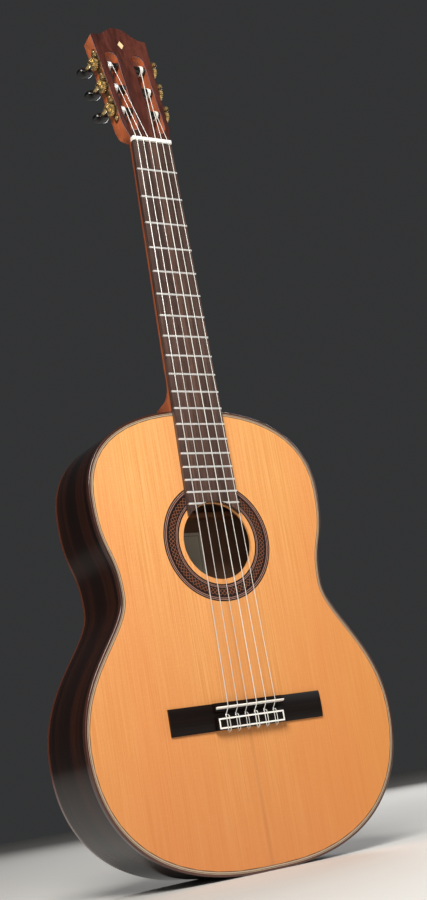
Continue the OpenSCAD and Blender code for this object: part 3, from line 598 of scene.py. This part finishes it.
BUTTON = turned("button_black", srgb(9, 9, 10), 0.0, 0.25, 0.3, 500, Coat_Weight=0.2, Coat_Roughness=0.05)
ROLLER = turned("roller_black", srgb(22, 19, 17), 0.0, 0.3, 0.3, 500, Coat_Weight=0.5)
# Painted highlight: the clear nylon has a near-white base colour that stands in for the strings'
# highlight.
NYLON = turned("clear_nylon", srgb(246, 244, 236), 0.0, 0.2, 0.05, 600, Transmission_Weight=0.2, IOR=1.53)
WOUND = wound_metal()
LABEL = paper()


# ---------------------------------------------------------------- body
BINDING_ROUND = 0.9
SIDE_PROFILE = [(0, "front", TOP_BINDING_H), (0, "back", BACK_BINDING_H),
                (SIDE_T, "back", BACK_BINDING_H), (SIDE_T, "front", TOP_BINDING_H)]
for part in ("bass", "treble"):
    wall(f"side_{part}.bent", SIDE_PROFILE, SIDES, part, f"side_{part}")
for node, side, height, material in (("top_binding", "front", TOP_BINDING_H, TOP_BINDING),
                                     ("back_binding", "back", BACK_BINDING_H, BACK_BINDING)):
    inner = [(SIDE_T, side, 0), (SIDE_T, side, height)]
    wall(f"{node}.round", [(0, side, height)] + round_corner(side, BINDING_ROUND) + inner, material,
         "all", node)
wall("top_purfling.lines", [(SIDE_T, "front", 0), (SIDE_T + PURFLING_W, "front", 0),
                            (SIDE_T + PURFLING_W, "front", PLATE_T), (SIDE_T, "front", PLATE_T)],
     PURFLING, "all", "top_purfling")

ACROSS, STRIP_ROWS = 14, 80
half_back = [p for p in half_outline(SIDE_T) if p.x > STRIP_HW]
treble_rows = [[(STRIP_HW + (p.x - STRIP_HW) * j / ACROSS, p.y) for j in range(ACROSS + 1)]
               for p in half_back]
plate("back_treble.arched", treble_rows, PLATE_T, BACK, "back_treble")
plate("back_bass.arched", [[(-x, z) for x, z in row] for row in treble_rows], PLATE_T, BACK, "back_bass")
strip_zs = [SIDE_T + (BODY_LEN - 2 * SIDE_T) * i / STRIP_ROWS for i in range(STRIP_ROWS + 1)]
strip_rows = [[(x, z) for x in (-STRIP_HW, -1, 1, STRIP_HW)] for z in strip_zs]
plate("back_strip.arched", strip_rows, PLATE_T, STRIP, "back_strip")


# ---------------------------------------------------------------- neck
def ease(t):
    """From 0 to 1 with a level start and end."""
    t = min(1, max(0, t))
    return t * t * (3 - 2 * t)


def board_hw(z):
    """Half the fingerboard's width."""
    return BOARD_HW_NUT + (BOARD_HW_12 - BOARD_HW_NUT) * (NUT_Z - z) / (SCALE / 2)


def head_hw(s):
    """Half the head's width along its straight taper."""
    rise = (s - SHOULDER_LOW_Z) / (SHOULDER_TOP_Z - SHOULDER_LOW_Z)
    return HEAD_HW_LOW + (HEAD_HW_TOP - HEAD_HW_LOW) * rise


def head_side(s):
    """Half the head's width: a slanting lower shoulder, then a straight taper."""
    if s >= SHOULDER_LOW_Z:
        return head_hw(s)
    return BOARD_HW_NUT + (HEAD_HW_LOW - BOARD_HW_NUT) * max(0, s) / SHOULDER_LOW_Z


def head_point(x, y, s):
    """A place on the head: y into it from its face, s up its face from the nut."""
    return (x, HEAD_Y + y * math.cos(HEAD_TILT) + s * math.sin(HEAD_TILT),
            NUT_BACK_Z - y * math.sin(HEAD_TILT) + s * math.cos(HEAD_TILT))


SHAFT_D, SHAFT_GROWTH = 15, 2
SQUARE_FROM, NECK_END_S = 819, 14
NECK_SIDES, HEEL_RINGS, SHAFT_RINGS = 48, 26, 16
SHAFT_TOP_Z = 803
SEAT_ZS = [494, 498, 502, 505]
THROAT_ZS = [806, 809, 812, 815, 818]
SHOULDER_SS = [0.5, 2, 4, 6, 8, 10, 12, NECK_END_S]
# Powers that shape the sections: below 1 squares a round one, and a high one keeps a sweep late and tight
SHAFT_POWER, SWEEP_POWER, KEEL_POWER = 0.8, 3.6, 4
KEEL_NOSE = 12


def shaft_depth(z):
    """The neck's depth behind the fingerboard, which grows from the nut to the heel."""
    return SHAFT_D + SHAFT_GROWTH * (NUT_Z - z) / (NUT_Z - HEEL_TOP_Z)


def neck_ring(z):
    """A section of the shaft, which deepens and narrows into the heel's keel."""
    drop = (HEEL_TOP_Z - z) / (HEEL_TOP_Z - HEEL_BASE_Z)
    keel, depth, hw = ease(drop), shaft_depth(z), board_hw(z)
    if drop > 0:
        full = BACK_NECK_Y - FACE_Y + HEEL_OVER - depth
        depth += full * (1 - math.sqrt(1 - min(1, drop) ** SWEEP_POWER))
    ring = []
    for j in range(NECK_SIDES + 1):
        a = math.pi * j / NECK_SIDES
        c, s = math.cos(a), max(0.0, math.sin(a))
        if abs(c) < 1e-9:
            c = 0.0
        narrow = HEEL_HW / hw
        wedge = (narrow + (1 - narrow) * abs(c) ** KEEL_POWER) * min(1, abs(c) * KEEL_NOSE)
        x = (1 - keel) * abs(c) ** SHAFT_POWER + keel * wedge
        y = min(FACE_Y + depth * s ** (1 - 0.1 * keel), back_y(0, z, PLATE_T))
        ring.append((math.copysign(x * hw, c), y, z))
    return ring


def shoulder_ring(path, to_place, hw, rise):
    """A section that turns from round to square as the neck becomes the head."""
    square = ease((path - SQUARE_FROM) / (NUT_BACK_Z + NECK_END_S - SQUARE_FROM))
    depth = shaft_depth(NUT_Z) + (HEAD_T - VENEER_T - shaft_depth(NUT_Z)) * square
    ring = []
    for j in range(NECK_SIDES + 1):
        a = math.pi * j / NECK_SIDES
        c, s = math.cos(a), max(0.0, math.sin(a))
        reach = max(abs(c), s)
        x = (1 - square) * math.copysign(abs(c) ** SHAFT_POWER, c) + square * c / reach
        y = (1 - square) * s + square * s / reach
        ring.append(to_place(hw * x, rise + depth * y))
    return ring


heel_zs = [HEEL_BASE_Z + (HEEL_TOP_Z - HEEL_BASE_Z) * i / HEEL_RINGS for i in range(HEEL_RINGS + 1)]
shaft_zs = [HEEL_TOP_Z + (SHAFT_TOP_Z - HEEL_TOP_Z) * i / SHAFT_RINGS for i in range(1, SHAFT_RINGS + 1)]
rings = [neck_ring(z) for z in SEAT_ZS + heel_zs + shaft_zs]
rings += [shoulder_ring(z, lambda x, y, z=z: (x, y, z), board_hw(z), FACE_Y) for z in THROAT_ZS]
rings += [shoulder_ring(NUT_BACK_Z + s, lambda x, y, s=s: head_point(x, y, s), head_side(s), VENEER_T)
          for s in SHOULDER_SS]
m = NECK_SIDES + 1
neck_faces = [(i * m + j, i * m + (j + 1) % m, (i + 1) * m + (j + 1) % m, (i + 1) * m + j)
              for i in range(len(rings) - 1) for j in range(m)]
neck_faces += [tuple(range(m)), tuple((len(rings) - 1) * m + j for j in range(m))]
neck_points = [p for ring in rings for p in ring]
stand_in(add("neck.carved", neck_points, neck_faces, NECK, smooth_below=50), "neck")


# ---------------------------------------------------------------- strings
def machine_rise(n):
    """How far up the head's edge a string's machine lies from the middle one."""
    return ROLLER_PITCH * ((5 - n) if n > 3 else (n - 2))


def machine_point(n, x, y, z):
    """A place on a tuning machine: x out along its roller's axis, z up the head's edge."""
    z += machine_rise(n)
    out = head_hw(MIDDLE_Z) + x * math.cos(HEAD_TAPER) + z * math.sin(HEAD_TAPER)
    up = MIDDLE_Z + z * math.cos(HEAD_TAPER) - x * math.sin(HEAD_TAPER)
    return head_point(-out if n > 3 else out, ROLLER_Y + y, up)


def roller_x(n):
    """How far along its roller's axis a string reaches it, from the head's side inwards."""
    edge = head_hw(MIDDLE_Z) + machine_rise(n) * math.sin(HEAD_TAPER)
    return -(edge - STRING_END_X[n - 1]) / math.cos(HEAD_TAPER)


def rounded(points, per=8):
    """A smooth way through the points."""
    p = [Vector(q) for q in points]
    p = [2 * p[0] - p[1]] + p + [2 * p[-1] - p[-2]]
    way = []
    for a, b, c, d in zip(p, p[1:], p[2:], p[3:]):
        for i in range(per):
            t = i / per
            way.append(0.5 * (2 * b + (c - a) * t + (2 * a - 5 * b + 4 * c - d) * t * t
                              + (3 * b - a - 3 * c + d) * t ** 3))
    return way + [p[-2]]


def thread(name, points, radius, material, body):
    """A round string through the points."""
    curve = bpy.data.curves.new(name, "CURVE")
    curve.dimensions = "3D"
    curve.bevel_depth = radius * MM
    curve.bevel_resolution = 3
    curve.use_fill_caps = True
    spline = curve.splines.new("POLY")
    spline.points.add(len(points) - 1)
    for target, point in zip(spline.points, points):
        target.co = (*(Vector(point) * MM), 1)
    return place(name, curve, material, body)


def tie_knot(x, r):
    """The loop over the tie block, from its loose end round to the front of the hole."""
    top, hole = FACE_Y - TIE_H - r - 0.05, FACE_Y - TIE_HOLE_H
    rear, front = BRIDGE_Z0, BRIDGE_Z0 + TIE_DEPTH
    lean = 1.1 + r
    main = hole - 0.9 * (2.2 + r)
    return rounded([
        (x + lean * 0.9, hole + 0.6, rear - 2.2 - r), (x + lean, top + 1.6, rear - 0.9 - r),
        (x + lean, top, rear + 1.2), (x + lean, top, front - 1.5),
        (x + lean * 1.1, top + 1.2, front + 1.0 + r),
        (x + 0.3 * lean, main + 1.6 * r + 1.0, front + 2.0 + r),
        (x - 0.6 * lean, main - 0.6, front + 2.4 + r),
        (x - lean, top + 0.5, front + 0.7 + r), (x - lean, top, front - 2.0), (x - lean, top, rear + 1.2),
        (x - 0.6 * lean, top + 1.4, rear - 0.7 - r), (x, hole, rear - 0.3 - r)]) + [
        Vector((x, hole, rear + 2)), Vector((x, hole, front + 0.6))]


def coil(n, reach, radius):
    """The turns round string n's roller. The last bit dips into the layer below."""
    pitch, steps, dip = 2.1 * radius + 0.06, 40, 5
    count = WRAP_TURNS[n - 1] * steps
    points = []
    for i in range(int(count) + 1):
        a = 2 * math.pi * i / steps
        sunk = max(0, 1 - (count - i) / dip) * 1.6 * radius
        out = ROLLER_R + radius + 0.05 - sunk
        points.append(machine_point(n, reach + pitch * i / steps, -out * math.cos(a), out * math.sin(a)))
    return points


for n in range(1, 7):
    r = STRING_R[n - 1]
    material = NYLON if n < 4 else WOUND
    x_saddle, x_nut = (3.5 - n) * STRING_GAP_SADDLE, (3.5 - n) * STRING_GAP_NUT
    reach = roller_x(n)
    points = tie_knot(x_saddle, r) + [
        Vector((x_saddle, FACE_Y - STRING_H_SADDLE - r, SADDLE_Z)),
        Vector((x_nut, FACE_Y - STRING_H_NUT - r, NUT_Z)),
        Vector(machine_point(n, reach, -ROLLER_R - r - 0.1, 0))]
    stand_in(thread(f"string_{n}.tied", points, r, material, "guitar"), f"string_{n}")
    wrap = thread(f"string_wrap_{n}", coil(n, reach, r), r, material, f"post_{n}")

# ---------------------------------------------------------------- the CAD pieces that keep their shape
# The last value is the round on each piece's edges.
for node, material, edge in (
        ("soundboard", CEDAR, 0.0), ("rosette", ROSETTE, 0.0), ("top_braces", SPRUCE, 0.5),
        ("back_braces", LINING, 0.5), ("linings", LINING, 0.3), ("tail_block", LINING, 0.3),
        ("end_graft", BACK_BINDING, 0.0), ("heel_cap", HEEL_CAP, 0.3), ("label", LABEL, 0.0),
        ("fingerboard", BOARD, 0.35), ("frets", NICKEL, 0.1), ("nut", BONE, 0.2),
        ("headstock", NECK, 0.4), ("head_veneer", HEAD_VENEER, 0.3), ("inlays", INLAY, 0.0),
        ("bridge", BRIDGE, 0.3), ("saddle", BONE, 0.25), ("tie_block_inlay", BONE, 0.1),
        ("tuner_plate_bass", PLATE, 0.15), ("tuner_plate_treble", PLATE, 0.15),
        ("plate_screws", BRASS, 0.15)):
    worked(node, material, edge)
for n in range(1, 7):
    worked(f"button_{n}", BUTTON, 0.4)
    worked(f"worm_{n}", BRASS, 0.08)
    worked(f"gear_{n}", BRASS, 0.1)
    worked(f"roller_{n}", ROLLER, 0.2)

# ---------------------------------------------------------------- floor, light and camera
FLOOR = 6
floor_mesh = bpy.data.meshes.new("floor")
corners = [(-FLOOR, -FLOOR, 0), (FLOOR, -FLOOR, 0), (FLOOR, FLOOR, 0), (-FLOOR, FLOOR, 0)]
floor_mesh.from_pydata(corners, [], [(0, 1, 2, 3)])
floor_graph = Graph("floor_paint")
floor_mesh.materials.append(floor_graph.finish(Base_Color=srgb(214, 212, 208), Roughness=0.8))
floor = bpy.data.objects.new("floor", floor_mesh)
bpy.context.scene.collection.objects.link(floor)

world = bpy.data.worlds.new("studio")
world.use_nodes = True
background = world.node_tree.nodes["Background"]
background.inputs["Color"].default_value = (0.95, 0.97, 1.0, 1)
background.inputs["Strength"].default_value = 0.035
bpy.context.scene.world = world
bpy.context.scene.view_settings.view_transform = "Standard"


def softbox(name, at, towards, size, power, tint=(1, 1, 1)):
    """A rectangular lamp of size (width, height) and power in watts."""
    lamp = bpy.data.lights.new(name, "AREA")
    lamp.shape, lamp.size, lamp.size_y = "RECTANGLE", *size
    lamp.energy, lamp.color = power, tint
    obj = bpy.data.objects.new(name, lamp)
    obj.location = at
    obj.rotation_euler = (Vector(towards) - Vector(at)).to_track_quat("-Z", "Y").to_euler()
    bpy.context.scene.collection.objects.link(obj)


softbox("key", (-1.15, -1.7, 1.85), (0, 0, 0.45), (1.2, 1.2), 82, (1.0, 0.98, 0.94))
softbox("low", (-1.5, -2.2, 0.6), (0, 0, 0.6), (1.0, 1.0), 6)
softbox("fill", (2.6, -0.9, 1.3), (0, 0, 0.5), (1.2, 1.6), 10)
softbox("back", (2.0, 1.7, 1.5), (0, 0, 0.45), (1.2, 1.2), 34)

YAW, PITCH, ROLL = math.radians(-33.02), math.radians(13.156), math.radians(-9.798)
SENSOR, LENS = 36, 52.6048
SHIFT_X, SHIFT_Y = -0.00413333, 0.03188889
camera_data = bpy.data.cameras.new("camera")
camera_data.sensor_fit = "VERTICAL"
camera_data.sensor_height = SENSOR
camera_data.lens = LENS
camera_data.shift_x, camera_data.shift_y = SHIFT_X, SHIFT_Y
camera = bpy.data.objects.new("camera", camera_data)
camera.matrix_world = (Matrix.Translation((-0.7519, -1.2272, 0.0875)) @ Matrix.Rotation(YAW, 4, "Z")
                       @ Matrix.Rotation(math.pi / 2 + PITCH, 4, "X") @ Matrix.Rotation(ROLL, 4, "Z"))
bpy.context.scene.collection.objects.link(camera)
bpy.context.scene.camera = camera
